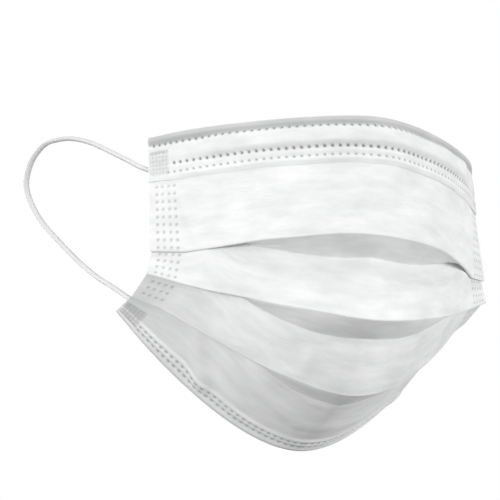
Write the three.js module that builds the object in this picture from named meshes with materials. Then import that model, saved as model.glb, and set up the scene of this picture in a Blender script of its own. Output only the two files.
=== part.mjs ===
// Three-ply surgical face mask, opened to its worn shape. Millimetres, +Z up, outer face towards -Y.
// The origin is the middle of the top edge, where the mask sits on the nose bridge.
// The body is one folded sheet: a hem folded over at the top and bottom edges and three pleats
// that lie flat in the side seals and open towards the middle.

import * as THREE from 'three';

// Flat sheet
const HALF_WIDTH = 87.5;      // middle to side edge, along the cloth
const SEAL_WIDTH = 12;        // welded band down each side
const WALL = 1;               // cloth thickness
const FOLD_RADIUS = 0.65;     // centre line of the cloth round a closed fold
const FOLD_STEPS = 3;         // facets round a fold
const TOP_PANEL = 44;         // top edge to the first ridge
const TOP_HEM = 17.5;         // depth of the flap folded over at the top edge
const BOTTOM_PANEL = 39;      // last valley to the bottom edge
const BOTTOM_HEM = 9;         // depth of the flap folded over at the bottom edge
const STACK_DEPTH = 3.9;      // how far a closed pleat lies behind the panel above it
const STACK_START = 0.2;      // share of the open width where the pleats begin to lie back
const STACK_END = 0.9;        // share of the open width where they lie fully back
const KNEE_DEPTH = 2.5;       // how far its bend lies behind the ridge in front of it
const KNEE_START = 0.62;      // share of the open width where the pleats begin to close
const KNEE_END = 0.97;        // share of the open width where they are closed
const OPEN_STEPS = 14;        // stations from the middle to the seal
const SEAL_STEPS = 2;         // stations across the seal

// Nose wire and the casing that it lifts in the top hem
const CLEARANCE = 0.3;        // gap between neighbouring pieces
const WIRE_WIDTH = 3.5;
const WIRE_THICKNESS = 0.9;
const WIRE_DROP = 7;          // top edge to the middle of the wire
const WIRE_STATIONS = 10;     // stations from the middle to the end of the wire
const CASING_RISE = WIRE_THICKNESS + CLEARANCE;
const CASING_CREST = 3;       // middle of the wire to the edge of the casing's flat crest
const CASING_FOOT = 4.6;      // middle of the wire to the foot of the casing

// Ear loops and the flattened ends that fasten them
const CORD_DIAMETER = 2.2;
const CORD_SIDES = 8;
const CORD_STEPS = 60;
const PAD_THICKNESS = 0.8;
const PAD_INSET = 1.2;        // side edge to the pad
const PAD_WIDTH = 8.2;
const PAD_HEIGHT = 9.5;
const PAD_DROP = 5.5;         // nearest hem edge to the pad

// Side edge of the mask from the top corner down the flat folded stack. out, back and up place the
// edge; yaw turns the seal forwards and dip turns it down, in degrees, on its way to the middle.
const EDGE = [
  { drop: 0, out: 66, back: 55, up: -1, yaw: 63, dip: 0 },
  { drop: 44, out: 67.4, back: 48.5, up: -44, yaw: 43, dip: 5.5 },
  { drop: 55, out: 68.3, back: 49.3, up: -52.3, yaw: 38, dip: 18 },
  { drop: 66, out: 67.9, back: 66, up: -57.4, yaw: 42, dip: 24 },
  { drop: 95, out: 66.5, back: 86.5, up: -59, yaw: 22, dip: 50 },
];

// Lines across the mask, in order down the cloth. drop is the height in the folded stack at the side,
// back and up place the line's middle, crown and cheek are the lengths of its two curve handles.
// tuck pushes a valley in behind the ridge above it, and side says which way the cloth turns:
// 1 at a ridge, -1 at a valley or an edge.
const LINES = [
  { name: 'top edge', drop: 0, back: 0, up: 0, crown: 19, cheek: 14.5, tuck: 0, side: -1 },
  { name: 'first ridge', drop: 44, back: -2, up: -43, crown: 31, cheek: 6, tuck: 0, side: 1 },
  { name: 'first valley', drop: 33, back: 7, up: -49.5, crown: 55, cheek: 6, tuck: 7, side: -1 },
  { name: 'second ridge', drop: 55, back: 2, up: -72.5, crown: 22, cheek: 6, tuck: 0, side: 1 },
  { name: 'second valley', drop: 44, back: 14, up: -77.5, crown: 51, cheek: 6, tuck: 5, side: -1 },
  { name: 'third ridge', drop: 66, back: 24.5, up: -95.5, crown: 24, cheek: 6, tuck: 0, side: 1 },
  { name: 'third valley', drop: 55, back: 35.5, up: -98, crown: 46, cheek: 19, tuck: 6, side: -1 },
  { name: 'bottom edge', drop: 95, back: 71.5, up: -109.5, crown: 23, cheek: 15, tuck: 0, side: -1 },
];
const TOP = 0;
const BOTTOM = LINES.length - 1;

// Extra points along each panel, how far its middle bulges out, and whether it bends over the
// ridge in front of it where the pleats close
const PANELS = [
  { points: 4, bulge: 0, knee: false },
  { points: 1, bulge: 0, knee: false },
  { points: 3, bulge: 0.5, knee: true },
  { points: 1, bulge: 0, knee: false },
  { points: 3, bulge: 0.5, knee: true },
  { points: 1, bulge: 0, knee: false },
  { points: 6, bulge: 0, knee: true },
];

// Right ear loop from the upper pad to the lower pad: out, back, up
const LOOP_ROUTE = [
  [64.7, 55.3, -13.3], [67.5, 59.5, -10.5], [70.5, 65, -7], [74.5, 74.5, -1.5], [78.5, 85, 4],
  [82.5, 96.5, 8], [85, 103.5, 9], [87.5, 110.5, 9], [89, 116.5, 7], [90, 121, 4], [90.5, 124, 0],
  [90.5, 125.5, -4], [89.5, 125, -9], [88, 123, -14], [86, 118, -20.5], [81.5, 109, -30],
  [77, 98.5, -39.5], [73, 88.5, -47], [70.5, 83, -50.5], [66, 77.5, -53.8],
];

const CLOTH = { color: 0xf1f2f3, roughness: 0.95, metalness: 0 };
const ELASTIC = { color: 0xf4f4f4, roughness: 0.9, metalness: 0 };
const COATED_WIRE = { color: 0xfafafa, roughness: 0.5, metalness: 0 };

const radians = THREE.MathUtils.degToRad;

// Value of a column of the edge table at a height in the folded stack
function edgeValue(column, drop) {
  const lower = Math.max(1, EDGE.findIndex((row) => row.drop >= drop));
  const above = EDGE[lower - 1];
  const below = EDGE[lower];
  const share = (drop - above.drop) / (below.drop - above.drop);
  return THREE.MathUtils.lerp(above[column], below[column], share);
}

function edgePoint(drop) {
  return new THREE.Vector3(edgeValue('out', drop), edgeValue('back', drop), edgeValue('up', drop));
}

// Direction across the seal, from the left side edge towards the middle of the mask
function sealDirection(drop) {
  const yaw = radians(edgeValue('yaw', drop));
  const dip = radians(edgeValue('dip', drop));
  return new THREE.Vector3(
    -Math.cos(yaw) * Math.cos(dip),
    -Math.sin(yaw) * Math.cos(dip),
    -Math.sin(dip),
  );
}

// Half of a line, from the middle of the mask to the inner edge of the left seal
function lineCurve(line) {
  const inward = sealDirection(line.drop);
  const seal = edgePoint(line.drop).addScaledVector(inward, SEAL_WIDTH);
  const middle = new THREE.Vector3(0, line.back, line.up);
  return new THREE.CubicBezierCurve3(
    middle,
    middle.clone().add(new THREE.Vector3(line.crown, 0, 0)),
    seal.clone().addScaledVector(inward, line.cheek),
    seal,
  );
}

const CURVES = LINES.map(lineCurve);

// Point of a line at a distance across the cloth, negative on the wearer's right
function linePoint(index, across) {
  const reach = Math.abs(across);
  const open = HALF_WIDTH - SEAL_WIDTH;
  let point;
  if (reach <= open) {
    point = CURVES[index].getPointAt(reach / open);
  } else {
    const inward = sealDirection(LINES[index].drop);
    point = edgePoint(LINES[index].drop).addScaledVector(inward, HALF_WIDTH - reach);
  }
  if (across < 0) point.x = -point.x;
  return point;
}

function lineTangent(index, across) {
  const step = 0.5;
  const from = linePoint(index, Math.max(across - step, -HALF_WIDTH));
  const to = linePoint(index, Math.min(across + step, HALF_WIDTH));
  return to.sub(from).normalize();
}

// Outward normal of a panel that runs along down, seen at a station
function panelNormal(index, next, down, across) {
  const along = lineTangent(index, across).add(lineTangent(next, across));
  return down.clone().cross(along).normalize();
}

// The eight corners of the folded section at a station, with the valleys tucked in
function corners(across) {
  const points = LINES.map((line, index) => linePoint(index, across));
  const share = Math.min(1, Math.abs(across) / (HALF_WIDTH - SEAL_WIDTH));
  const stack = STACK_DEPTH * THREE.MathUtils.smoothstep(share, STACK_START, STACK_END);
  LINES.forEach((line, index) => {
    if (line.tuck === 0) return;
    const ridge = index - 1;
    const above = Math.max(0, index - 3);
    const down = points[ridge].clone().sub(points[above]).normalize();
    const inward = panelNormal(above, ridge, down, across).negate();
    points[index].addScaledVector(inward, stack + line.tuck * Math.sin(Math.PI * share));
  });
  return points;
}

// Centre line of the folded cloth at a station: points with the normal of the cloth at each
function clothSection(across) {
  const inner = corners(across);
  const topFlap = inner[TOP].clone().lerp(inner[TOP + 1], TOP_HEM / TOP_PANEL);
  const bottomFlap = inner[BOTTOM].clone().lerp(inner[BOTTOM - 1], BOTTOM_HEM / BOTTOM_PANEL);
  const points = [topFlap, ...inner, bottomFlap];
  const rows = [TOP + 1, ...LINES.keys(), BOTTOM - 1];
  const flapLift = 1 + 2 * (TOP_HEM / TOP_PANEL);
  const turns = [-flapLift, ...LINES.map((line) => line.side), -1];

  const downs = [];
  const normals = [];
  for (let panel = 0; panel + 1 < points.length; panel += 1) {
    const down = points[panel + 1].clone().sub(points[panel]).normalize();
    downs.push(down);
    normals.push(panelNormal(rows[panel], rows[panel + 1], down, across));
  }

  const section = [];
  const add = (point, normal) => section.push({ point, normal: normal.clone() });
  const lifted = (corner, panel) =>
    points[corner].clone().addScaledVector(normals[panel], turns[corner] * FOLD_RADIUS);

  // Bend of a panel over the ridge in front of it: its share of the way down and how far it moves
  function kneeOf(panel) {
    if (!PANELS[panel - 1].knee) return { peak: 0.5, offset: new THREE.Vector3() };
    const [ridge, valley, following] = [panel - 2, panel - 1, panel].map((line) => LINES[line].drop);
    const peak = (ridge - valley) / (following - valley);
    const behind = inner[panel - 2].clone().addScaledVector(normals[panel - 2], -KNEE_DEPTH);
    const straight = lifted(panel, panel).lerp(lifted(panel + 1, panel), peak);
    const open = Math.min(1, Math.abs(across) / (HALF_WIDTH - SEAL_WIDTH));
    const closed = THREE.MathUtils.smoothstep(open, KNEE_START, KNEE_END);
    return { peak, offset: behind.sub(straight).multiplyScalar(closed) };
  }

  function addPanel(panel) {
    const start = lifted(panel, panel);
    const end = lifted(panel + 1, panel);
    const { points: count, bulge } = PANELS[panel - 1];
    const { peak, offset } = kneeOf(panel);
    for (let step = 1; step <= count; step += 1) {
      const share = step / (count + 1);
      const rise = bulge * 4 * share * (1 - share);
      const tent = Math.min(share / peak, (1 - share) / (1 - peak));
      const point = start.clone().lerp(end, share).addScaledVector(normals[panel], rise);
      add(point.addScaledVector(offset, tent), normals[panel]);
    }
  }

  function addFold(corner) {
    const turn = turns[corner];
    const first = normals[corner - 1].clone().multiplyScalar(turn);
    const forward = downs[corner - 1];
    const last = normals[corner].clone().multiplyScalar(turn);
    let angle = Math.atan2(last.dot(forward), last.dot(first));
    if (angle < -Math.PI / 2) angle += 2 * Math.PI;
    for (let step = 0; step <= FOLD_STEPS; step += 1) {
      const bend = (angle * step) / FOLD_STEPS;
      const radial = first.clone().multiplyScalar(Math.cos(bend))
        .addScaledVector(forward, Math.sin(bend));
      add(points[corner].clone().addScaledVector(radial, FOLD_RADIUS), radial.multiplyScalar(turn));
    }
  }

  // Top flap, from its cut edge up over the casing to the top fold
  const flapStart = lifted(0, 0);
  const flapEnd = lifted(1, 0);
  const casing = [
    { drop: TOP_HEM, rise: 0 },
    { drop: WIRE_DROP + CASING_FOOT, rise: 0 },
    { drop: WIRE_DROP + CASING_CREST, rise: CASING_RISE },
    { drop: WIRE_DROP - CASING_CREST, rise: CASING_RISE },
    { drop: WIRE_DROP - CASING_FOOT, rise: 0 },
  ];
  for (const { drop, rise } of casing) {
    const point = flapStart.clone().lerp(flapEnd, 1 - drop / TOP_HEM);
    add(point.addScaledVector(normals[0], -rise), normals[0]);
  }
  for (let corner = 1; corner + 1 < points.length; corner += 1) {
    addFold(corner);
    if (corner <= PANELS.length) addPanel(corner);
  }
  // Bottom flap, up the front of the last panel
  const hemPanel = points.length - 2;
  const { peak, offset } = kneeOf(PANELS.length);
  const flapEdge = lifted(points.length - 1, hemPanel);
  flapEdge.addScaledVector(offset, BOTTOM_HEM / BOTTOM_PANEL / (1 - peak));
  add(flapEdge, normals[hemPanel]);
  return section;
}

// Stations across the mask, from the wearer's right edge to the left
function stations() {
  const open = HALF_WIDTH - SEAL_WIDTH;
  const half = [];
  for (let step = 1; step <= OPEN_STEPS; step += 1) half.push((open * step) / OPEN_STEPS);
  for (let step = 1; step <= SEAL_STEPS; step += 1) half.push(open + (SEAL_WIDTH * step) / SEAL_STEPS);
  return [...half.map((reach) => -reach).reverse(), 0, ...half];
}

// Closed sheet of even thickness from rows of centre points and normals
function sheetGeometry(rows, thickness) {
  const rowCount = rows.length;
  const width = rows[0].length;
  const positions = [];
  for (const side of [0.5, -0.5]) {
    for (const row of rows) {
      for (const { point, normal } of row) {
        const moved = point.clone().addScaledVector(normal, side * thickness);
        positions.push(moved.x, moved.y, moved.z);
      }
    }
  }
  const outer = (row, column) => row * width + column;
  const inner = (row, column) => (rowCount + row) * width + column;
  const indices = [];
  const quad = (a, b, c, d) => indices.push(a, b, c, a, c, d);
  for (let row = 0; row + 1 < rowCount; row += 1) {
    for (let column = 0; column + 1 < width; column += 1) {
      quad(outer(row, column), outer(row, column + 1), outer(row + 1, column + 1), outer(row + 1, column));
      quad(inner(row, column), inner(row + 1, column), inner(row + 1, column + 1), inner(row, column + 1));
    }
    const end = width - 1;
    quad(outer(row, 0), outer(row + 1, 0), inner(row + 1, 0), inner(row, 0));
    quad(outer(row + 1, end), outer(row, end), inner(row, end), inner(row + 1, end));
  }
  for (let column = 0; column + 1 < width; column += 1) {
    const end = rowCount - 1;
    quad(outer(0, column + 1), outer(0, column), inner(0, column), inner(0, column + 1));
    quad(outer(end, column), outer(end, column + 1), inner(end, column + 1), inner(end, column));
  }
  const geometry = new THREE.BufferGeometry();
  geometry.setAttribute('position', new THREE.Float32BufferAttribute(positions, 3));
  geometry.setIndex(indices);
  geometry.computeVertexNormals();
  return geometry;
}

// Strip that follows a panel: drops are distances from its hem edge, lift is out from the line surface
function panelStrip(edge, next, panelLength, drops, lift, reaches) {
  return reaches.map((across) => {
    const points = corners(across);
    const start = points[edge];
    const end = points[next];
    const down = end.clone().sub(start).normalize();
    const normal = panelNormal(edge, next, down, across);
    if (edge > next) normal.negate();
    return drops.map((drop) => ({
      point: start.clone().lerp(end, drop / panelLength).addScaledVector(normal, lift),
      normal: edge > next ? normal.clone().negate() : normal.clone(),
    }));
  });
}

function makeNoseWire() {
  const spread = (WIRE_DROP / TOP_PANEL) * 2 * FOLD_RADIUS;
  const lift = spread - FOLD_RADIUS + WALL / 2 + CLEARANCE + WIRE_THICKNESS / 2;
  const reaches = stations().filter((across) => {
    const end = (HALF_WIDTH - SEAL_WIDTH) * (WIRE_STATIONS / OPEN_STEPS);
    return Math.abs(across) <= end + 0.01;
  });
  const drops = [WIRE_DROP - WIRE_WIDTH / 2, WIRE_DROP + WIRE_WIDTH / 2];
  return sheetGeometry(panelStrip(TOP, TOP + 1, TOP_PANEL, drops, lift, reaches), WIRE_THICKNESS);
}

function makePad(corner, hand) {
  const outside = hand * (HALF_WIDTH - PAD_INSET);
  const inside = hand * (HALF_WIDTH - PAD_INSET - PAD_WIDTH);
  const reaches = [outside, (outside + inside) / 2, inside].sort((a, b) => a - b);
  const drops = [PAD_DROP, PAD_DROP + PAD_HEIGHT];
  const behind = -(FOLD_RADIUS + WALL / 2 + 2 * CLEARANCE + PAD_THICKNESS / 2);
  const strip = corner === 'upper'
    ? panelStrip(TOP, TOP + 1, TOP_PANEL, drops, behind, reaches)
    : panelStrip(BOTTOM, BOTTOM - 1, BOTTOM_PANEL, drops, behind, reaches);
  return sheetGeometry(strip, PAD_THICKNESS);
}

// Elastic cord of round section along the loop's route
function makeLoop(hand) {
  const route = LOOP_ROUTE.map(([out, back, up]) => new THREE.Vector3(hand * out, back, up));
  const path = new THREE.CatmullRomCurve3(route, false, 'centripetal');
  const section = new THREE.Shape();
  for (let side = 0; side < CORD_SIDES; side += 1) {
    const angle = (2 * Math.PI * side) / CORD_SIDES;
    const x = (CORD_DIAMETER / 2) * Math.cos(angle);
    const y = (CORD_DIAMETER / 2) * Math.sin(angle);
    if (side === 0) section.moveTo(x, y);
    else section.lineTo(x, y);
  }
  return new THREE.ExtrudeGeometry(section, { steps: CORD_STEPS, extrudePath: path });
}

const mask = new THREE.Group();

function addPiece(name, geometry, finish) {
  const mesh = new THREE.Mesh(geometry, new THREE.MeshStandardMaterial(finish));
  mesh.name = name;
  mask.add(mesh);
}

addPiece('pleated_body', sheetGeometry(stations().map(clothSection), WALL), CLOTH);
addPiece('nose_wire', makeNoseWire(), COATED_WIRE);
for (const [label, hand] of [['right', -1], ['left', 1]]) {
  addPiece(`ear_loop_${label}`, makeLoop(hand), ELASTIC);
  addPiece(`loop_weld_upper_${label}`, makePad('upper', hand), ELASTIC);
  addPiece(`loop_weld_lower_${label}`, makePad('lower', hand), ELASTIC);
}

export default mask;
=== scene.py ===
import math
from bisect import bisect_left

import bmesh
import bpy
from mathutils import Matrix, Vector, noise


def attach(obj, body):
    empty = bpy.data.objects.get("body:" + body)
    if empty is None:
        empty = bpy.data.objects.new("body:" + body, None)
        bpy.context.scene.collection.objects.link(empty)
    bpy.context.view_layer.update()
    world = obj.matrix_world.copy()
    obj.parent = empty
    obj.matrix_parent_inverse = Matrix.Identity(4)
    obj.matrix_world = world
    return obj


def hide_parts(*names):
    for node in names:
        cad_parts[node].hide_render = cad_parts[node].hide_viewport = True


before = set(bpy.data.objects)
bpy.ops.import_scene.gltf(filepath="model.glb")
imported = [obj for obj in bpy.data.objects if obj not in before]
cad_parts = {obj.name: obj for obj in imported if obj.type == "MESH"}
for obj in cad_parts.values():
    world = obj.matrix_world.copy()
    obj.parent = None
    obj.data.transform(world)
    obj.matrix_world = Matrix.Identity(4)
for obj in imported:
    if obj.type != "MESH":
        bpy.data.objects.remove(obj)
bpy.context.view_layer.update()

MM = 0.001
AMBIENT = 0.16
FLOOR_HEIGHT = -0.32
LAMP_SPREAD = 45
LAMP_TARGET = (0, 0.03, -0.05)
LAMPS = [
    ("left_light", (-1.04, -0.73, -0.10), (0.7, 0.4), 0.92),
    ("high_left_light", (-1.05, -0.35, 0.45), (0.7, 0.5), 0.30),
    ("right_light", (1.05, -0.40, -0.02), (0.6, 0.4), 0.88),
    ("top_light", (0, -0.55, 1.10), (0.7, 0.7), 0.62),
]

# ---------------------------------------------------------------------------------------------
# Sizes in millimetres, except those of the loops and the studio, which are in metres.
# Across is measured along the cloth from the middle of the mask, negative
# on the wearer's right, and drop is measured down the flat folded mask from its top edge.
# ---------------------------------------------------------------------------------------------
HALF_WIDTH = 87.5
SEAL_WIDTH = 12
OPEN_WIDTH = HALF_WIDTH - SEAL_WIDTH
WALL = 0.45
HEM_WALL = 0.35
FOLD_RADIUS = 0.33
FOLD_STEPS = 6
STACK_DEPTH = 1.98
STACK_CLOSING = (0.2, 0.9)
LOOSE_WAVE = 0.45
TOP_PANEL = 44
TOP_HEM = 17.3
BOTTOM_PANEL = 39
BOTTOM_HEM = 9.2
CURVE_SAMPLES = 240

# Side edge from the top corner down the flat folded stack
EDGE = [
    {"drop": 0, "out": 66, "back": 55, "up": -1, "yaw": 63, "dip": 0},
    {"drop": 44, "out": 67.4, "back": 48.5, "up": -44, "yaw": 43, "dip": 5.5},
    {"drop": 55, "out": 68.3, "back": 49.3, "up": -52.3, "yaw": 38, "dip": 18},
    {"drop": 66, "out": 67.9, "back": 66, "up": -57.4, "yaw": 42, "dip": 24},
    {"drop": 95, "out": 66.5, "back": 86.5, "up": -59, "yaw": 22, "dip": 50},
]

# Lines across the mask: back and up place the middle, crown and cheek are the curve's handles,
# tuck pushes a valley in behind the ridge above it, side is 1 at a ridge and -1 elsewhere
LINES = [
    {"name": "top edge", "drop": 0, "back": 0, "up": 0,
     "crown": 19, "cheek": 14.5, "tuck": 0, "side": -1},
    {"name": "first ridge", "drop": 44, "back": -2, "up": -43,
     "crown": 31, "cheek": 6, "tuck": 0, "side": 1},
    {"name": "first valley", "drop": 33, "back": 7, "up": -49.5,
     "crown": 55, "cheek": 6, "tuck": 7, "side": -1},
    {"name": "second ridge", "drop": 55, "back": 2, "up": -72.5,
     "crown": 22, "cheek": 6, "tuck": 0, "side": 1},
    {"name": "second valley", "drop": 44, "back": 14, "up": -77.5,
     "crown": 51, "cheek": 6, "tuck": 5, "side": -1},
    {"name": "third ridge", "drop": 66, "back": 24.5, "up": -95.5,
     "crown": 24, "cheek": 6, "tuck": 0, "side": 1},
    {"name": "third valley", "drop": 55, "back": 35.5, "up": -98,
     "crown": 46, "cheek": 19, "tuck": 6, "side": -1},
    {"name": "bottom edge", "drop": 95, "back": 71.5, "up": -109.5,
     "crown": 23, "cheek": 15, "tuck": 0, "side": -1},
]
TOP = 0
BOTTOM = len(LINES) - 1

# Panels between the lines: length of cloth, outward bulge and how many rows of faces it gets
PANELS = [
    {"length": 44, "bulge": 0.0, "rows": 74},
    {"length": 11, "bulge": 0.3, "rows": 8},
    {"length": 22, "bulge": 0.7, "rows": 37},
    {"length": 11, "bulge": 0.3, "rows": 8},
    {"length": 22, "bulge": 0.7, "rows": 37},
    {"length": 11, "bulge": 0.3, "rows": 8},
    {"length": 39, "bulge": 0.4, "rows": 62},
]

# Panels that bend over the ridge in front of them where the pleats close, and where they close
KNEES = [2, 4, 6]
KNEE_CLOSING = (0.62, 0.97)
KNEE_DEPTH = 3.4 * FOLD_RADIUS

# Rows of round weld spots along the two hems: drop is measured in from the hem's own edge, start
# from the side edge, and mark is how strongly the spot is pressed and darkened
HEM_WELDS = [
    {"hem": "top", "drop": 3.4, "start": 2.6, "radius": 0.74, "mark": 0.9},
    {"hem": "top", "drop": 11.1, "start": 11.8, "radius": 0.76, "mark": 0.95},
    {"hem": "top", "drop": 14.4, "start": 9.0, "radius": 0.68, "mark": 0.6},
    {"hem": "bottom", "drop": 3.7, "start": 11.2, "radius": 0.95, "mark": 0.6},
    {"hem": "bottom", "drop": 6.5, "start": 11.2, "radius": 0.9, "mark": 0.55},
]
WELD_PITCH = 2.7

# Height of the quilted hems at drops from the hem's edge, pinched at the rows of spots and fused
# down to the sheet at the cut edge
TOP_QUILT = [
    (0, 0.0), (1.2, 0.3), (3.4, -0.22), (5.2, 0.3), (8.4, 0.3), (11.1, -0.22), (12.7, 0.25),
    (14.4, -0.12), (15.8, 0.18), (16.8, -0.25), (17.3, -0.42),
]
BOTTOM_QUILT = [
    (0, 0.0), (1.3, 0.22), (2.5, 0.0), (3.7, -0.15), (5.1, 0.2), (6.5, -0.15), (7.8, 0.02), (9.2, -0.58),
]

# Rows of side weld spots on each visible panel: top and bottom drop in the folded stack
SIDE_WELDS = [
    {"panel": 0, "first": 19.6, "pitch": 2.92, "count": 9},
    {"panel": 2, "first": 45.4, "pitch": 2.8, "count": 4},
    {"panel": 4, "first": 57.2, "pitch": 2.9, "count": 3},
]
SIDE_COLUMNS = [3.2, 5.8, 8.4, 11.0]
SIDE_RADIUS = 0.68
SIDE_MARK = 0.5

# Knurled patches where the loop ends are fused: distances from the side edge and the hem's edge
PATCHES = [
    {"hem": "top", "near": 0.7, "far": 9.4, "low": 5.6, "high": 15.4, "press": 1.0},
    {"hem": "bottom", "near": 0.9, "far": 9.6, "low": 3.4, "high": 17.6, "press": 1.5},
]
KNURL_PITCH = 1.5

# Soft creases pressed into the open panels: a line from one place to another on a panel, each
# given as across and share of the way down it, then height and half width of the crease
CREASES = [
    {"panel": 6, "a0": -64, "s0": 0.2, "a1": -46, "s1": 0.8, "height": 2.0, "width": 4.5},
    {"panel": 6, "a0": 64, "s0": 0.2, "a1": 46, "s1": 0.8, "height": 1.6, "width": 4.5},
    {"panel": 6, "a0": -34, "s0": 0.15, "a1": -8, "s1": 0.5, "height": 0.4, "width": 3.4},
    {"panel": 6, "a0": -8, "s0": 0.5, "a1": 30, "s1": 0.46, "height": 0.35, "width": 3.0},
    {"panel": 4, "a0": -14, "s0": 0.0, "a1": -20, "s1": 1.0, "height": 0.5, "width": 3.5},
    {"panel": 4, "a0": 24, "s0": 0.0, "a1": 20, "s1": 1.0, "height": 0.5, "width": 3.5},
    {"panel": 2, "a0": 4, "s0": 0.0, "a1": 2, "s1": 1.0, "height": 0.6, "width": 2.6},
    {"panel": 0, "a0": -74, "s0": 0.55, "a1": -68, "s1": 1.0, "height": 0.5, "width": 1.6},
    {"panel": 0, "a0": 74, "s0": 0.55, "a1": 68, "s1": 1.0, "height": 0.5, "width": 1.6},
]

# Nose wire under the top hem
CASING_TOP = 3.9
CASING_BOTTOM = 10.3
CASING_SLOPE = 1.7
CASING_RISE = 1.35
CASING_END = 54.5
CASING_FADE = 12

# Ear loops: a flat knitted elastic, and its ends fused flat behind the side seals
LOOP_WIDTH = 0.0022
LOOP_THICKNESS = 0.0017
LOOP_END_WIDTH = 0.0034
LOOP_END_THICKNESS = 0.0007
LOOP_END_LENGTH = 0.010
LOOP_RIBS = 4
LOOP_RIB_HEIGHT = 0.03
LOOP_SIDES = 32
LOOP_STEP = 0.0004
STITCH = 0.0016
PAD_THICKNESS = 0.6
PAD_GAP = 0.06
PAD_SIZE = {"near": 1.2, "far": 9.4, "low": 5.5, "high": 15.0}

# Right ear loop from the upper to the lower fused end, in metres: out, back, up
LOOP_ROUTE = [
    (0.0647, 0.0553, -0.0133), (0.0675, 0.0595, -0.0105), (0.0705, 0.0650, -0.0070),
    (0.0745, 0.0745, -0.0015), (0.0785, 0.0850, 0.0040), (0.0825, 0.0965, 0.0080),
    (0.0850, 0.1035, 0.0090), (0.0875, 0.1105, 0.0090), (0.0890, 0.1165, 0.0070),
    (0.0900, 0.1210, 0.0040), (0.0905, 0.1240, 0.0000), (0.0905, 0.1255, -0.0040),
    (0.0895, 0.1250, -0.0090), (0.0880, 0.1230, -0.0140), (0.0860, 0.1180, -0.0205),
    (0.0815, 0.1090, -0.0300), (0.0770, 0.0985, -0.0395), (0.0730, 0.0885, -0.0470),
    (0.0705, 0.0830, -0.0505), (0.0660, 0.0775, -0.0538),
]


# ---------------------------------------------------------------------------------------------
# Camera
# ---------------------------------------------------------------------------------------------
def make_camera():
    camera = bpy.data.objects.new("camera", bpy.data.cameras.new("camera"))
    bpy.context.scene.collection.objects.link(camera)
    camera.data.sensor_width = 36
    camera.data.lens = 173.7
    camera.data.clip_start = 0.05
    camera.data.clip_end = 20
    camera.location = (-0.3608, -0.7451, -0.2330)
    back = Vector((-0.3767, -0.9002, -0.2183))
    camera.rotation_mode = "QUATERNION"
    camera.rotation_quaternion = (-back).to_track_quat("-Z", "Y")
    bpy.context.scene.camera = camera


# ---------------------------------------------------------------------------------------------
# Shape of the folded sheet
# ---------------------------------------------------------------------------------------------
def smooth(low, high, value):
    share = min(1.0, max(0.0, (value - low) / (high - low)))
    return share * share * (3 - 2 * share)


def edge_row(drop):
    lower = next(i for i, row in enumerate(EDGE) if i and (row["drop"] >= drop or i == len(EDGE) - 1))
    above, below = EDGE[lower - 1], EDGE[lower]
    share = (drop - above["drop"]) / (below["drop"] - above["drop"])
    return {key: above[key] + (below[key] - above[key]) * share for key in above}


def edge_point(drop):
    row = edge_row(drop)
    return Vector((row["out"], row["back"], row["up"]))


def seal_direction(drop):
    row = edge_row(drop)
    yaw, dip = math.radians(row["yaw"]), math.radians(row["dip"])
    return Vector((-math.cos(yaw) * math.cos(dip), -math.sin(yaw) * math.cos(dip), -math.sin(dip)))


class Line:
    """Half of a line across the mask, walked by its own length, then straight over the seal."""

    def __init__(self, row):
        self.inward = seal_direction(row["drop"])
        self.edge = edge_point(row["drop"])
        seal = self.edge + self.inward * SEAL_WIDTH
        middle = Vector((0, row["back"], row["up"]))
        self.handles = (
            middle,
            middle + Vector((row["crown"], 0, 0)),
            seal + self.inward * row["cheek"],
            seal,
        )
        walked = [self.curve(i / CURVE_SAMPLES) for i in range(CURVE_SAMPLES + 1)]
        self.reach = [0.0]
        for a, b in zip(walked, walked[1:]):
            self.reach.append(self.reach[-1] + (b - a).length)

    def curve(self, t):
        a, b, c, d = self.handles
        s = 1 - t
        return a * s ** 3 + b * (3 * s * s * t) + c * (3 * s * t * t) + d * t ** 3

    def point(self, across):
        reach = abs(across)
        if reach <= OPEN_WIDTH:
            want = reach / OPEN_WIDTH * self.reach[-1]
            i = min(CURVE_SAMPLES, max(1, bisect_left(self.reach, want)))
            step = self.reach[i] - self.reach[i - 1]
            found = self.curve((i - 1 + (want - self.reach[i - 1]) / step) / CURVE_SAMPLES)
        else:
            found = self.edge + self.inward * (HALF_WIDTH - reach)
        if across < 0:
            found.x = -found.x
        return found

    def tangent(self, across):
        low, high = max(across - 0.5, -HALF_WIDTH), min(across + 0.5, HALF_WIDTH)
        return (self.point(high) - self.point(low)).normalized()


CURVES = [Line(row) for row in LINES]


def panel_normal(index, following, down, across):
    along = CURVES[index].tangent(across) + CURVES[following].tangent(across)
    return down.cross(along).normalized()


def corners(across):
    """The eight corners of the folded section at a station, with the valleys tucked in."""
    points = [line.point(across) for line in CURVES]
    share = min(1.0, abs(across) / OPEN_WIDTH)
    stack = STACK_DEPTH * smooth(*STACK_CLOSING, share)
    for index, row in enumerate(LINES):
        if row["tuck"] == 0:
            continue
        ridge, above = index - 1, max(0, index - 3)
        down = (points[ridge] - points[above]).normalized()
        inward = -panel_normal(above, ridge, down, across)
        points[index] += inward * (stack + row["tuck"] * math.sin(math.pi * share))
    loose = LOOSE_WAVE * (1 - smooth(0.75, 1.0, share))
    for index in range(1, BOTTOM):
        wave = noise.noise(Vector((across * 0.055, index * 7.3, 2.0)))
        points[index].y += loose * wave
        points[index].z += loose * noise.noise(Vector((across * 0.05, index * 5.1, 9.0)))
    return points


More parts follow.
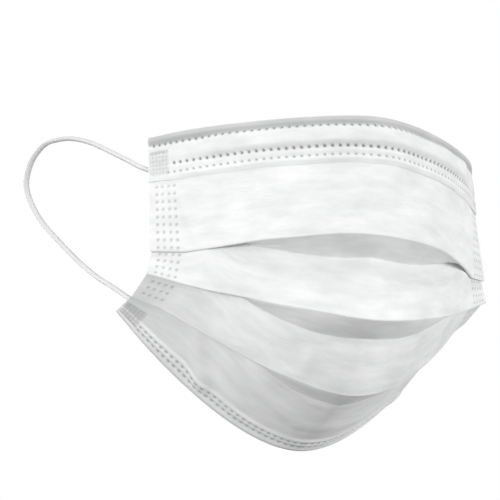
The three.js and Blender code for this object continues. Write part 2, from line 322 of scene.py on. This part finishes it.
class Section:
    """Folded cloth at one station: each panel's two ends and normal, and each fold's turn."""

    def __init__(self, across):
        self.across = across
        inner = corners(across)
        top_flap = inner[TOP].lerp(inner[TOP + 1], TOP_HEM / TOP_PANEL)
        bottom_flap = inner[BOTTOM].lerp(inner[BOTTOM - 1], BOTTOM_HEM / BOTTOM_PANEL)
        points = [top_flap, *inner, bottom_flap]
        rows = [TOP + 1, *range(len(LINES)), BOTTOM - 1]
        flap_lift = 1 + 2 * TOP_HEM / TOP_PANEL
        turns = [-flap_lift, *[row["side"] for row in LINES], -1]
        downs = [(b - a).normalized() for a, b in zip(points, points[1:])]
        self.normals = [
            panel_normal(rows[i], rows[i + 1], downs[i], across) for i in range(len(downs))
        ]
        self.starts = [
            points[i] + self.normals[i] * (turns[i] * FOLD_RADIUS) for i in range(len(downs))
        ]
        self.ends = [
            points[i + 1] + self.normals[i] * (turns[i + 1] * FOLD_RADIUS) for i in range(len(downs))
        ]
        self.folds = [None]
        for i in range(1, len(points) - 1):
            first = self.normals[i - 1] * turns[i]
            last = self.normals[i] * turns[i]
            angle = math.atan2(last.dot(downs[i - 1]), last.dot(first))
            if angle < -math.pi / 2:
                angle += 2 * math.pi
            self.folds.append((points[i], first, downs[i - 1], angle))
        self.knees = {panel: self.knee(panel, inner) for panel in KNEES}

    def knee(self, panel, inner):
        """Bend of a closed pleat's inner panel over the ridge in front of it, near the seals."""
        valley, ridge, following = (LINES[i]["drop"] for i in (panel, panel - 1, panel + 1))
        share = (ridge - valley) / (following - valley)
        behind = inner[panel - 1] - self.normals[panel - 1] * KNEE_DEPTH
        straight = self.starts[panel + 1].lerp(self.ends[panel + 1], share)
        closed = smooth(*KNEE_CLOSING, min(1.0, abs(self.across) / OPEN_WIDTH))
        return share, (behind - straight) * closed

    def fold_point(self, corner, share):
        centre, first, forward, angle = self.folds[corner]
        bend = angle * share
        return centre + (first * math.cos(bend) + forward * math.sin(bend)) * FOLD_RADIUS

    def panel_point(self, panel, share, rise):
        flat = self.starts[panel].lerp(self.ends[panel], share)
        if panel - 1 in self.knees:
            peak, offset = self.knees[panel - 1]
            flat += offset * min(share / peak, (1 - share) / (1 - peak))
        if panel == len(PANELS) + 1:
            peak, offset = self.knees[len(PANELS) - 1]
            flat += offset * (share * BOTTOM_HEM / BOTTOM_PANEL / (1 - peak))
        return flat + self.normals[panel] * rise


# ---------------------------------------------------------------------------------------------
# Relief pressed into the cloth
# ---------------------------------------------------------------------------------------------
def spot(distance, radius):
    return 1 - smooth(radius * 0.45, radius * 1.15, distance)


def hem_mark(hem, across, drop):
    """How strongly a hem is pressed at a place, from its weld spots and its knurled patch."""
    side = HALF_WIDTH - abs(across)
    mark = 0.0
    for row in HEM_WELDS:
        if row["hem"] != hem or side < row["start"] - WELD_PITCH / 2:
            continue
        if abs(drop - row["drop"]) > 1.2:
            continue
        nearest = round((side - row["start"]) / WELD_PITCH) * WELD_PITCH + row["start"]
        distance = math.hypot(side - nearest, drop - row["drop"])
        mark = max(mark, row["mark"] * spot(distance, row["radius"]))
    return max(mark, patch_mark(hem, side, drop))


def patch_mark(hem, side, drop):
    """Knurled patch with a firmly pressed bar along the border that is nearest the hem's edge; the bar
    is pressed in and also darkened as painted shadow of the imprint's deep edge.
    """
    patch = next(row for row in PATCHES if row["hem"] == hem)
    inside = (
        smooth(patch["near"] - 0.3, patch["near"] + 0.3, side)
        * (1 - smooth(patch["far"] - 0.3, patch["far"] + 0.3, side))
        * smooth(patch["low"] - 0.3, patch["low"] + 0.3, drop)
        * (1 - smooth(patch["high"] - 0.3, patch["high"] + 0.3, drop))
    )
    if inside <= 0:
        return 0.0
    wave = math.sin(math.pi * side / KNURL_PITCH) * math.sin(math.pi * drop / KNURL_PITCH)
    worn = 0.5 + noise.noise(Vector((side * 0.9, drop * 0.9, 3.0)))
    # Painted shadow: the bar is darkened as the shadowed deep edge of the imprint, on top of being
    # pressed in
    bar = spot(abs(drop - patch["low"] - 0.8), 0.85) * (0.3 + 0.2 * worn)
    return patch["press"] * inside * max(bar, 0.04 + 0.28 * abs(wave) + 0.12 * worn)


def side_mark(panel, across, drop):
    side = HALF_WIDTH - abs(across)
    if side > SIDE_COLUMNS[-1] + 1:
        return 0.0
    mark = 0.0
    for row in SIDE_WELDS:
        if row["panel"] != panel:
            continue
        step = round((drop - row["first"]) / row["pitch"])
        if not 0 <= step < row["count"]:
            continue
        nearest = row["first"] + step * row["pitch"]
        for column in SIDE_COLUMNS:
            distance = math.hypot(side - column, drop - nearest)
            mark = max(mark, SIDE_MARK * spot(distance, SIDE_RADIUS))
    return mark


def crease_height(panel, across, share, length):
    """Height of the soft creases at a place on a panel."""
    height = 0.0
    for row in CREASES:
        if row["panel"] != panel:
            continue
        start = Vector((row["a0"], row["s0"] * length))
        run = Vector((row["a1"], row["s1"] * length)) - start
        here = Vector((across, share * length)) - start
        along = min(1.0, max(0.0, here.dot(run) / run.length_squared))
        distance = (here - run * along).length
        height += row["height"] * math.exp(-((distance / row["width"]) ** 2))
    return height


def panel_relief(panel, across, share):
    """Outward relief of an open panel: its bulge, creases and slight unevenness."""
    row = PANELS[panel]
    free = 1 - smooth(OPEN_WIDTH - 14, OPEN_WIDTH, abs(across))
    edge = smooth(0, 3, share * row["length"]) * smooth(0, 3, (1 - share) * row["length"])
    uneven = noise.noise(Vector((across * 0.06, share * row["length"] * 0.07, panel * 3.7)))
    fine = noise.noise(Vector((across * 0.16, share * row["length"] * 0.2, panel * 9.1)))
    bulge = row["bulge"] * 4 * share * (1 - share)
    height = bulge * free + edge * (0.6 * uneven + 0.16 * fine) * (0.25 + 0.75 * free)
    return height + edge * crease_height(panel, across, share, row["length"])


def casing_rise(across, drop):
    """How far the nose wire lifts the hem above it."""
    ends = 1 - smooth(CASING_END, CASING_END + CASING_FADE, abs(across))
    top = smooth(CASING_TOP - CASING_SLOPE, CASING_TOP + 0.2, drop)
    bottom = 1 - smooth(CASING_BOTTOM - 0.9, CASING_BOTTOM + CASING_SLOPE - 0.9, drop)
    return CASING_RISE * ends * top * bottom


# ---------------------------------------------------------------------------------------------
# Sheet pieces
# ---------------------------------------------------------------------------------------------
def spread(low, high, step):
    count = max(1, math.ceil((high - low) / step))
    return [low + (high - low) * i / count for i in range(count)]


def columns(seal_step, open_step):
    """Stations from one side edge to the other, closer together over the side seals."""
    inner = OPEN_WIDTH - 1
    return [
        *spread(-HALF_WIDTH, -inner, seal_step),
        *spread(-inner, inner, open_step),
        *spread(inner, HALF_WIDTH, seal_step),
        HALF_WIDTH,
    ]


def sheet_mesh(name, across_stations, rows, place):
    """Grid of faces whose corners are put in place by place(section, row), which also gives a
    weld mark that carries painted shade as well. Rows run down the cloth, and the sheet coordinates are
    kept in a UV map."""
    bm = bmesh.new()
    wide, tall = len(across_stations) - 1, len(rows) - 1
    bmesh.ops.create_grid(bm, x_segments=wide, y_segments=tall, size=0.5)
    marks = bm.verts.layers.float.new("weld")
    uv = bm.loops.layers.uv.new("sheet")
    sections = [Section(across) for across in across_stations]
    where = {}
    for vert in bm.verts:
        column = round((vert.co.x + 0.5) * wide)
        row = round((0.5 - vert.co.y) * tall)
        point, mark = place(sections[column], rows[row])
        vert.co = point * MM
        vert[marks] = mark
        where[vert] = (across_stations[column], rows[row]["cloth"])
    for face in bm.faces:
        face.smooth = True
        for loop in face.loops:
            loop[uv].uv = where[loop.vert]
    mesh = bpy.data.meshes.new(name)
    bm.to_mesh(mesh)
    bm.free()
    return mesh


def thick_piece(name, mesh, wall, material):
    """Gives a sheet its wall, half of it on each side, with crisp cut edges."""
    piece = bpy.data.objects.new(name, mesh)
    bpy.context.scene.collection.objects.link(piece)
    solidify = piece.modifiers.new("wall", "SOLIDIFY")
    solidify.thickness = wall * MM
    solidify.offset = 0
    depsgraph = bpy.context.evaluated_depsgraph_get()
    solid = bpy.data.meshes.new_from_object(piece.evaluated_get(depsgraph))
    piece.modifiers.clear()
    piece.data = solid
    solid.name = name
    solid.set_sharp_from_angle(angle=math.radians(70))
    solid.materials.clear()
    solid.materials.append(material)
    return piece


def body_rows():
    """Rows down the main sheet, from behind the top fold to the bottom fold."""
    rows, cloth = [], 0.0
    for index, panel in enumerate(PANELS):
        for step in range(panel["rows"] + 1):
            share = step / panel["rows"]
            rows.append({
                "kind": "panel", "index": index, "share": share,
                "cloth": cloth + share * panel["length"],
            })
        cloth += panel["length"]
        if index < len(PANELS) - 1:
            for step in range(1, FOLD_STEPS):
                rows.append({
                    "kind": "fold", "index": index + 2, "share": step / FOLD_STEPS, "cloth": cloth,
                })
    return rows


def stack_drop(panel, share):
    """Drop in the flat folded stack at a share of the way down a panel."""
    above, below = LINES[panel]["drop"], LINES[panel + 1]["drop"]
    return above + (below - above) * share


def place_body(section, row):
    if row["kind"] == "fold":
        return section.fold_point(row["index"], row["share"]), 0.0
    panel, share, across = row["index"], row["share"], section.across
    drop = stack_drop(panel, share)
    mark = side_mark(panel, across, drop)
    if panel == len(PANELS) - 1:
        hem_drop = (1 - share) * BOTTOM_PANEL
        mark = max(mark, patch_mark("bottom", HALF_WIDTH - abs(across), hem_drop))
    rise = panel_relief(panel, across, share) - 0.16 * mark
    return section.panel_point(panel + 1, share, rise), mark


def hem_rows(depth, step, rolls):
    """Rows from a hem's cut edge to its fold and round it."""
    count = math.ceil(depth / step)
    rows = [
        {"kind": "flap", "share": i / count, "cloth": -depth * (1 - i / count)}
        for i in range(count + 1)
    ]
    rows += [
        {"kind": "fold", "share": i / rolls, "cloth": 0.0} for i in range(1, rolls + 1)
    ]
    return rows


def quilt(stops, drop):
    """Height of a quilted hem between stops, each a drop and the height there."""
    for (above, high), (below, low) in zip(stops, stops[1:]):
        if drop <= below:
            return high + (low - high) * smooth(above, below, drop)
    return stops[-1][1]


def place_top_hem(section, row):
    if row["kind"] == "fold":
        # Painted shade: the roll of the top fold gets a weld mark of 0.2, which darkens it
        return section.fold_point(1, row["share"]), 0.2
    drop = TOP_HEM * (1 - row["share"])
    free = 1 - smooth(OPEN_WIDTH - 6, OPEN_WIDTH, abs(section.across))
    spots = hem_mark("top", section.across, drop)
    # Painted shade: the top hem's strip above its first row of spots, and a faint line at drop 2.3, are
    # darkened through the weld mark
    painted_shade_strip = 0.4 * (1 - smooth(2.6, 3.9, drop)) + 0.16 * spot(abs(drop - 2.3), 1.2)
    rise = casing_rise(section.across, drop) * (1 - 0.25 * min(1.0, spots))
    rise += quilt(TOP_QUILT, drop) * (0.45 + 0.55 * free)
    rise += panel_relief(TOP, section.across, drop / TOP_PANEL)
    uneven = noise.noise(Vector((section.across * 0.12, drop * 0.15, 4.0)))
    rise += 0.12 * uneven * smooth(0, 3, drop) - 0.2 * spots
    return section.panel_point(0, row["share"], -rise), max(spots, painted_shade_strip)


def place_bottom_hem(section, row):
    if row["kind"] == "fold":
        # Painted shade: the roll of the bottom fold gets a weld mark of 0.3, which darkens it
        return section.fold_point(BOTTOM + 1, 1 - row["share"]), 0.3
    drop = BOTTOM_HEM * (1 - row["share"])
    mark = hem_mark("bottom", section.across, drop)
    uneven = noise.noise(Vector((section.across * 0.12, drop * 0.15, 8.0)))
    # Painted shade: a band within 1.6 mm of the bottom folded edge is darkened through the weld mark
    edge = 0.22 * (1 - smooth(0.5, 1.6, drop))
    rise = quilt(BOTTOM_QUILT, drop) + 0.1 * uneven * smooth(0, 3, drop) - 0.16 * mark
    rise += panel_relief(len(PANELS) - 1, section.across, 1 - drop / BOTTOM_PANEL)
    return section.panel_point(len(PANELS) + 1, 1 - row["share"], -rise), max(mark, edge)


def make_cloth(material):
    body = thick_piece(
        "pleated_cloth",
        sheet_mesh("pleated_cloth", columns(0.6, 1.35), body_rows(), place_body),
        WALL, material,
    )
    top_hem = thick_piece(
        "top_hem",
        sheet_mesh("top_hem", columns(0.4, 0.45), hem_rows(TOP_HEM, 0.45, 8), place_top_hem),
        HEM_WALL, material,
    )
    bottom_hem = thick_piece(
        "bottom_hem",
        sheet_mesh(
            "bottom_hem", columns(0.4, 0.45), hem_rows(BOTTOM_HEM, 0.45, 8), place_bottom_hem,
        ),
        HEM_WALL, material,
    )
    for piece in (body, top_hem, bottom_hem):
        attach(piece, "root")
    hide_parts("pleated_body")
    return body


# ---------------------------------------------------------------------------------------------
# Fused loop ends and ear loops
# ---------------------------------------------------------------------------------------------
def behind_point(corner, across, drop, depth):
    """Place behind a side seal: drop from the nearest hem's edge, depth in from the sheet."""
    points = corners(across)
    edge, following, length = {
        "upper": (TOP, TOP + 1, TOP_PANEL), "lower": (BOTTOM, BOTTOM - 1, BOTTOM_PANEL),
    }[corner]
    down = (points[following] - points[edge]).normalized()
    normal = panel_normal(edge, following, down, across)
    if edge > following:
        normal = -normal
    return points[edge].lerp(points[following], drop / length) - normal * depth


def make_pad(corner, hand, material):
    """Fused end of a loop behind a side seal: a thin knurled tab."""
    wide, tall = 28, 32
    bm = bmesh.new()
    bmesh.ops.create_grid(bm, x_segments=wide, y_segments=tall, size=0.5)
    marks = bm.verts.layers.float.new("weld")
    for vert in bm.verts:
        x, y = vert.co.x + 0.5, vert.co.y + 0.5
        side = PAD_SIZE["near"] + (PAD_SIZE["far"] - PAD_SIZE["near"]) * x
        drop = PAD_SIZE["low"] + (PAD_SIZE["high"] - PAD_SIZE["low"]) * y
        wave = math.sin(math.pi * side / KNURL_PITCH) * math.sin(math.pi * drop / KNURL_PITCH)
        lift = 0.14 * abs(wave)
        depth = FOLD_RADIUS + WALL / 2 + PAD_GAP + PAD_THICKNESS / 2 + lift
        across = hand * (HALF_WIDTH - side)
        vert.co = behind_point(corner, across, drop, depth) * MM
        vert[marks] = abs(wave)
    for face in bm.faces:
        face.smooth = True
    name = "fused_end_" + corner + ("_right" if hand < 0 else "_left")
    mesh = bpy.data.meshes.new(name)
    bm.to_mesh(mesh)
    bm.free()
    piece = thick_piece(name, mesh, PAD_THICKNESS - 0.14, material)
    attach(piece, "root")
    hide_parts("loop_weld_" + corner + ("_right" if hand < 0 else "_left"))
    return piece


def smooth_route(points):
    """Centripetal curve through points, walked in short steps."""
    ends = [points[0] * 2 - points[1], *points, points[-1] * 2 - points[-2]]
    walked = []
    for p0, p1, p2, p3 in zip(ends, ends[1:], ends[2:], ends[3:]):
        d0, d1, d2 = ((b - a).length ** 0.5 for a, b in ((p0, p1), (p1, p2), (p2, p3)))
        m1 = ((p1 - p0) / d0 - (p2 - p0) / (d0 + d1) + (p2 - p1) / d1) * d1
        m2 = ((p2 - p1) / d1 - (p3 - p1) / (d1 + d2) + (p3 - p2) / d2) * d1
        for step in range(40):
            t = step / 40
            walked.append(
                p1 * (2 * t ** 3 - 3 * t ** 2 + 1) + m1 * (t ** 3 - 2 * t ** 2 + t)
                + p2 * (3 * t ** 2 - 2 * t ** 3) + m2 * (t ** 3 - t ** 2)
            )
    walked.append(points[-1])
    return walked


def even_steps(walked, step):
    """The same curve in even steps, with its length."""
    reach = [0.0]
    for a, b in zip(walked, walked[1:]):
        reach.append(reach[-1] + (b - a).length)
    count = round(reach[-1] / step)
    even = []
    for i in range(count + 1):
        want = reach[-1] * i / count
        j = min(len(reach) - 1, max(1, bisect_left(reach, want)))
        even.append(walked[j - 1].lerp(walked[j], (want - reach[j - 1]) / (reach[j] - reach[j - 1])))
    return even, reach[-1]


def loop_centres(hand):
    """Centre line of an ear loop, with its two ends lying flat on the fused tabs."""
    depth = FOLD_RADIUS + WALL / 2 + PAD_GAP + PAD_THICKNESS + LOOP_END_THICKNESS / MM / 2
    upper = [
        behind_point("upper", hand * (HALF_WIDTH - s), drop, depth) * MM
        for s, drop in ((7.0, 14.9), (3.0, 13.4))
    ]
    lower = [
        behind_point("lower", hand * (HALF_WIDTH - s), drop, depth) * MM
        for s, drop in ((4.5, 11.0), (7.5, 11.0))
    ]
    middle = [Vector((hand * x, y, z)) for x, y, z in LOOP_ROUTE[1:-1]]
    return even_steps(smooth_route([*upper, *middle, *lower]), LOOP_STEP)


def make_loop(hand, material):
    """Knitted elastic: a flat oval tube with low ribs along it."""
    centres, length = loop_centres(hand)
    rings = len(centres) - 1
    bm = bmesh.new()
    bmesh.ops.create_grid(bm, x_segments=LOOP_SIDES, y_segments=rings, size=0.5)
    uv = bm.loops.layers.uv.new("elastic")
    where = {}
    for vert in bm.verts:
        around = vert.co.x + 0.5
        ring = round((vert.co.y + 0.5) * rings)
        ahead = centres[min(ring + 1, rings)] - centres[max(ring - 1, 0)]
        ahead.normalize()
        out = Vector((hand, 0, 0))
        wide = (out - ahead * out.dot(ahead)).normalized()
        thin = ahead.cross(wide)
        along = ring / rings * length
        end = 1 - smooth(0, LOOP_END_LENGTH, min(along, length - along))
        half_wide = (LOOP_WIDTH + (LOOP_END_WIDTH - LOOP_WIDTH) * end) / 2
        half_thin = (LOOP_THICKNESS + (LOOP_END_THICKNESS - LOOP_THICKNESS) * end) / 2
        angle = 2 * math.pi * around
        swell = 1 + LOOP_RIB_HEIGHT * math.cos(LOOP_RIBS * angle)
        offset = wide * (half_wide * math.cos(angle)) + thin * (half_thin * math.sin(angle))
        vert.co = centres[ring] + offset * swell
        where[vert] = (around, along / MM)
    for face in bm.faces:
        face.smooth = True
        for loop in face.loops:
            loop[uv].uv = where[loop.vert]
    bmesh.ops.remove_doubles(bm, verts=bm.verts, dist=1e-6)
    bmesh.ops.holes_fill(bm, edges=[edge for edge in bm.edges if edge.is_boundary], sides=0)
    bmesh.ops.recalc_face_normals(bm, faces=bm.faces)
    name = "elastic_loop" + ("_right" if hand < 0 else "_left")
    mesh = bpy.data.meshes.new(name)
    bm.to_mesh(mesh)
    bm.free()
    mesh.materials.append(material)
    piece = bpy.data.objects.new(name, mesh)
    bpy.context.scene.collection.objects.link(piece)
    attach(piece, "root")
    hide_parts("ear_loop" + ("_right" if hand < 0 else "_left"))
    centres[::4] + ([centres[-1]] if rings % 4 else [])
    return piece


# ---------------------------------------------------------------------------------------------
# Materials
# ---------------------------------------------------------------------------------------------
class Value:
    """A number socket that takes part in Python arithmetic."""

    def __init__(self, finish, socket):
        self.finish = finish
        self.socket = socket

    def _math(self, operation, *inputs):
        return Value(self.finish, self.finish.node(
            "ShaderNodeMath", {"operation": operation}, dict(enumerate(inputs))).outputs[0])

    def __add__(self, other):
        return self._math("ADD", self, other)

    def __radd__(self, other):
        return self._math("ADD", other, self)

    def __sub__(self, other):
        return self._math("SUBTRACT", self, other)

    def __rsub__(self, other):
        return self._math("SUBTRACT", other, self)

    def __mul__(self, other):
        return self._math("MULTIPLY", self, other)

    def sine(self):
        return self._math("SINE", self)

    def limit(self):
        return self._math("MINIMUM", self._math("MAXIMUM", self, 0.0), 1.0)


class Finish:
    """One material, made node by node."""

    def __init__(self, name):
        self.material = bpy.data.materials.new(name)
        self.material.use_nodes = True
        self.tree = self.material.node_tree
        self.shader = self.tree.nodes["Principled BSDF"]

    def node(self, kind, settings=None, inputs=None):
        made = self.tree.nodes.new(kind)
        for key, value in (settings or {}).items():
            setattr(made, key, value)
        for key, value in (inputs or {}).items():
            self.put(made.inputs[key], value)
        return made

    def put(self, socket, value):
        if isinstance(value, Value):
            value = value.socket
        if isinstance(value, bpy.types.NodeSocket):
            self.tree.links.new(value, socket)
        else:
            socket.default_value = value

    def value(self, node, output=0):
        return Value(self, node.outputs[output])

    def mix(self, factor, first, second):
        made = self.node("ShaderNodeMix", {"data_type": "RGBA"}, {0: factor, 6: first, 7: second})
        return made.outputs[2]

    def noise(self, vector, scale, detail=2.0, roughness=0.5):
        made = self.node(
            "ShaderNodeTexNoise", None,
            {"Vector": vector, "Scale": scale, "Detail": detail, "Roughness": roughness},
        )
        return self.value(made, 0)

    def bump(self, height, strength, distance):
        made = self.node(
            "ShaderNodeBump", None,
            {"Height": height, "Strength": strength, "Distance": distance},
        )
        self.put(self.shader.inputs["Normal"], made.outputs[0])

    def set(self, **sockets):
        for name, value in sockets.items():
            self.put(self.shader.inputs[name.replace("_", " ")], value)


def nonwoven_cloth():
    """White spunbond: fine random fibres, faint rows of bond points, and pressed weld spots
    that let the shadow of the layers behind show through, and painted shade on the hem folds,
    the bottom folded edge and the top hem's strip, which come in through the same weld attribute."""
    finish = Finish("nonwoven_cloth")
    sheet = finish.node("ShaderNodeUVMap", {"uv_map": "sheet"}).outputs[0]
    split = finish.node("ShaderNodeSeparateXYZ", None, {0: sheet})
    u, v = finish.value(split, 0), finish.value(split, 1)
    place = finish.node("ShaderNodeTexCoord").outputs["Object"]
    weld = finish.value(
        finish.node("ShaderNodeAttribute", {"attribute_name": "weld"}), 2
    )
    bonds = ((u * (math.pi / 0.7)).sine() * (v * (math.pi / 0.9)).sine())
    points = (bonds * 3.0 - 1.6).limit()
    fibres = finish.noise(place, 1400.0, 3.0, 0.65)
    cloud = (finish.noise(place, 75.0, 4.0, 0.6) * 2.6 - 0.8).limit()
    crosswise = finish.node("ShaderNodeCombineXYZ", None, {0: u * 0.05, 1: v * 0.17})
    streaks = (finish.noise(crosswise.outputs[0], 1.0, 5.0, 0.65) * 3.2 - 1.1).limit()
    pale = finish.mix(cloud * 0.3 + streaks * 0.7, (0.77, 0.775, 0.78, 1), (0.95, 0.952, 0.955, 1))
    bonded = finish.mix(points * 0.35, pale, (0.80, 0.805, 0.81, 1))
    # Weld spots show the shadow behind them, and the hem strip, fold rolls and bottom edge get painted
    # shade, all through the weld mark
    welds_and_painted_shade = finish.mix((weld * 0.95).limit(), bonded, (0.16, 0.16, 0.165, 1))
    finish.set(Base_Color=welds_and_painted_shade, Roughness=0.9 - (weld * 0.45).limit())
    finish.bump(fibres * 0.6 + cloud * 0.5 - points * 0.35, 0.35, 0.00025)
    finish.shader.inputs["Specular IOR Level"].default_value = 0.25
    finish.shader.inputs["Sheen Weight"].default_value = 0.15
    finish.shader.inputs["Sheen Roughness"].default_value = 0.6
    return finish.material


def knitted_elastic():
    """White knitted elastic: faint slanting stitches, with painted shade in the grooves between the
    ribs.
    """
    finish = Finish("knitted_elastic")
    place = finish.node("ShaderNodeUVMap", {"uv_map": "elastic"}).outputs[0]
    split = finish.node("ShaderNodeSeparateXYZ", None, {0: place})
    around, along = finish.value(split, 0), finish.value(split, 1)
    rib = (around * (2 * math.pi * LOOP_RIBS) + math.pi / 2).sine()
    stitch = (along * (2 * math.pi * MM / STITCH) + rib * 1.4).sine()
    # Painted shade: the grooves between the ribs are darkened
    painted_groove_shade = (0.3 - rib * 0.4).limit()
    fuzz = finish.noise(finish.node("ShaderNodeTexCoord").outputs["Object"], 900.0, 2.0, 0.5)
    thread = finish.mix(fuzz, (0.80, 0.80, 0.80, 1), (0.88, 0.88, 0.875, 1))
    finish.set(
        Base_Color=finish.mix(painted_groove_shade * 0.3, thread, (0.66, 0.665, 0.67, 1)),
        Roughness=0.85,
    )
    finish.bump(stitch + fuzz, 0.03, 0.0001)
    return finish.material


def fused_elastic():
    """Elastic melted flat: smoother and greyer, lighter on its knurled points."""
    finish = Finish("fused_elastic")
    weld = finish.value(finish.node("ShaderNodeAttribute", {"attribute_name": "weld"}), 2)
    place = finish.node("ShaderNodeTexCoord").outputs["Object"]
    fuzz = finish.noise(place, 1500.0, 2.0, 0.6)
    base = finish.mix(fuzz, (0.72, 0.72, 0.725, 1), (0.82, 0.82, 0.82, 1))
    finish.set(
        Base_Color=finish.mix(weld * 0.4, base, (0.90, 0.90, 0.90, 1)),
        Roughness=0.45 + fuzz * 0.3,
    )
    finish.bump(fuzz, 0.3, 0.0001)
    return finish.material


def coated_wire():
    """Soft wire in a white plastic coat, with faint draw marks along it."""
    finish = Finish("coated_wire")
    place = finish.node("ShaderNodeTexCoord").outputs["Object"]
    stretched = finish.node("ShaderNodeMapping", None, {0: place, "Scale": (40, 400, 1400)})
    marks = finish.noise(stretched.outputs[0], 1.0, 2.0, 0.5)
    finish.set(
        Base_Color=finish.mix(marks, (0.82, 0.82, 0.82, 1), (0.90, 0.90, 0.90, 1)),
        Roughness=0.35 + marks * 0.25,
    )
    finish.bump(marks, 0.2, 0.0001)
    return finish.material


def pale_floor():
    finish = Finish("pale_floor")
    place = finish.node("ShaderNodeTexCoord").outputs["Object"]
    grain = finish.noise(place, 30.0, 3.0, 0.5)
    finish.set(
        Base_Color=finish.mix(grain, (0.64, 0.64, 0.64, 1), (0.66, 0.66, 0.66, 1)),
        Roughness=0.8,
    )
    return finish.material


# ---------------------------------------------------------------------------------------------
# Studio
# ---------------------------------------------------------------------------------------------
def make_floor():
    bm = bmesh.new()
    bmesh.ops.create_grid(bm, x_segments=8, y_segments=8, size=3.0)
    bmesh.ops.translate(bm, verts=bm.verts, vec=(0, 0, FLOOR_HEIGHT))
    mesh = bpy.data.meshes.new("floor")
    bm.to_mesh(mesh)
    bm.free()
    mesh.materials.append(pale_floor())
    floor = bpy.data.objects.new("floor", mesh)
    bpy.context.scene.collection.objects.link(floor)


def make_lamp(name, place, size, power):
    lamp = bpy.data.lights.new(name, "AREA")
    lamp.shape = "RECTANGLE"
    lamp.size, lamp.size_y = size
    lamp.energy = power
    lamp.spread = math.radians(LAMP_SPREAD)
    holder = bpy.data.objects.new(name, lamp)
    bpy.context.scene.collection.objects.link(holder)
    holder.location = place
    aim = Vector(LAMP_TARGET) - Vector(place)
    holder.rotation_mode = "QUATERNION"
    holder.rotation_quaternion = aim.to_track_quat("-Z", "Y")


def make_studio():
    scene = bpy.context.scene
    scene.view_settings.view_transform = "Standard"
    world = bpy.data.worlds.new("studio")
    scene.world = world
    world.use_nodes = True
    tree = world.node_tree
    ambient = tree.nodes["Background"]
    ambient.inputs["Color"].default_value = (1, 1, 1, 1)
    ambient.inputs["Strength"].default_value = AMBIENT
    backdrop = tree.nodes.new("ShaderNodeBackground")
    backdrop.inputs["Color"].default_value = (1, 1, 1, 1)
    seen = tree.nodes.new("ShaderNodeLightPath")
    mixed = tree.nodes.new("ShaderNodeMixShader")
    tree.links.new(seen.outputs["Is Camera Ray"], mixed.inputs[0])
    tree.links.new(ambient.outputs[0], mixed.inputs[1])
    tree.links.new(backdrop.outputs[0], mixed.inputs[2])
    tree.links.new(mixed.outputs[0], tree.nodes["World Output"].inputs[0])
    make_floor()
    for name, place, size, power in LAMPS:
        make_lamp(name, place, size, power)


# ---------------------------------------------------------------------------------------------
make_camera()
elastic = knitted_elastic()
for side in (-1, 1):
    make_loop(side, elastic)
fused = fused_elastic()
for side in (-1, 1):
    for corner in ("upper", "lower"):
        make_pad(corner, side, fused)
make_cloth(nonwoven_cloth())
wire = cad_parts["nose_wire"]
wire.data.materials.clear()
wire.data.materials.append(coated_wire())
make_studio()
